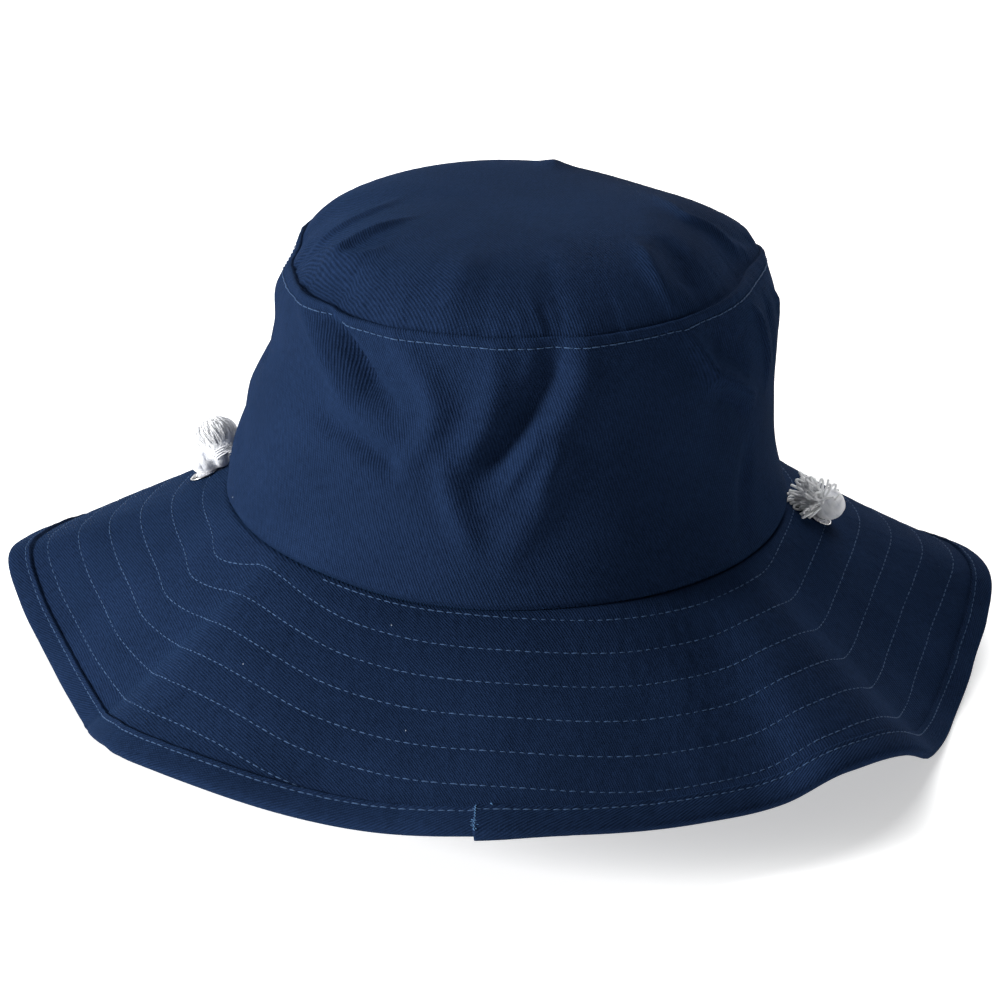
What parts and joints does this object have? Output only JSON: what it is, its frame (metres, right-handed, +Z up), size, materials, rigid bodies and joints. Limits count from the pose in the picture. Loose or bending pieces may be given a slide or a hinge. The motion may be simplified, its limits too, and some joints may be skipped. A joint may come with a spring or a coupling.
{
  "type": "wide-brim hat",
  "caption": "Soft wide-brim sun hat of navy cotton twill with a domed crown, a quilted bound brim, side eyelets and a white knotted chin cord.",
  "frame": {"origin": "centre of the base of the hat's bounding box, on the surface that the hat stands on", "axes": "+Z up through the crown, -Y to the front that the picture shows, +X to the right in that view"},
  "size_m": [0.3188, 0.3274, 0.1543],
  "materials": {
    "crown_twill": "matt navy cotton twill",
    "brim_twill": "matt navy cotton twill, quilted",
    "eyelet_metal": "bright silver",
    "cord_cotton": "white cotton cord"
  },
  "bodies": {
    "root": {"crown_top": "crown_twill", "crown_wall": "crown_twill", "brim": "brim_twill", "brim_binding": "brim_twill", "eyelet_left": "eyelet_metal", "eyelet_right": "eyelet_metal", "tassel_left": "cord_cotton", "tassel_right": "cord_cotton", "chin_cord": "cord_cotton"}
  },
  "joints": []
}
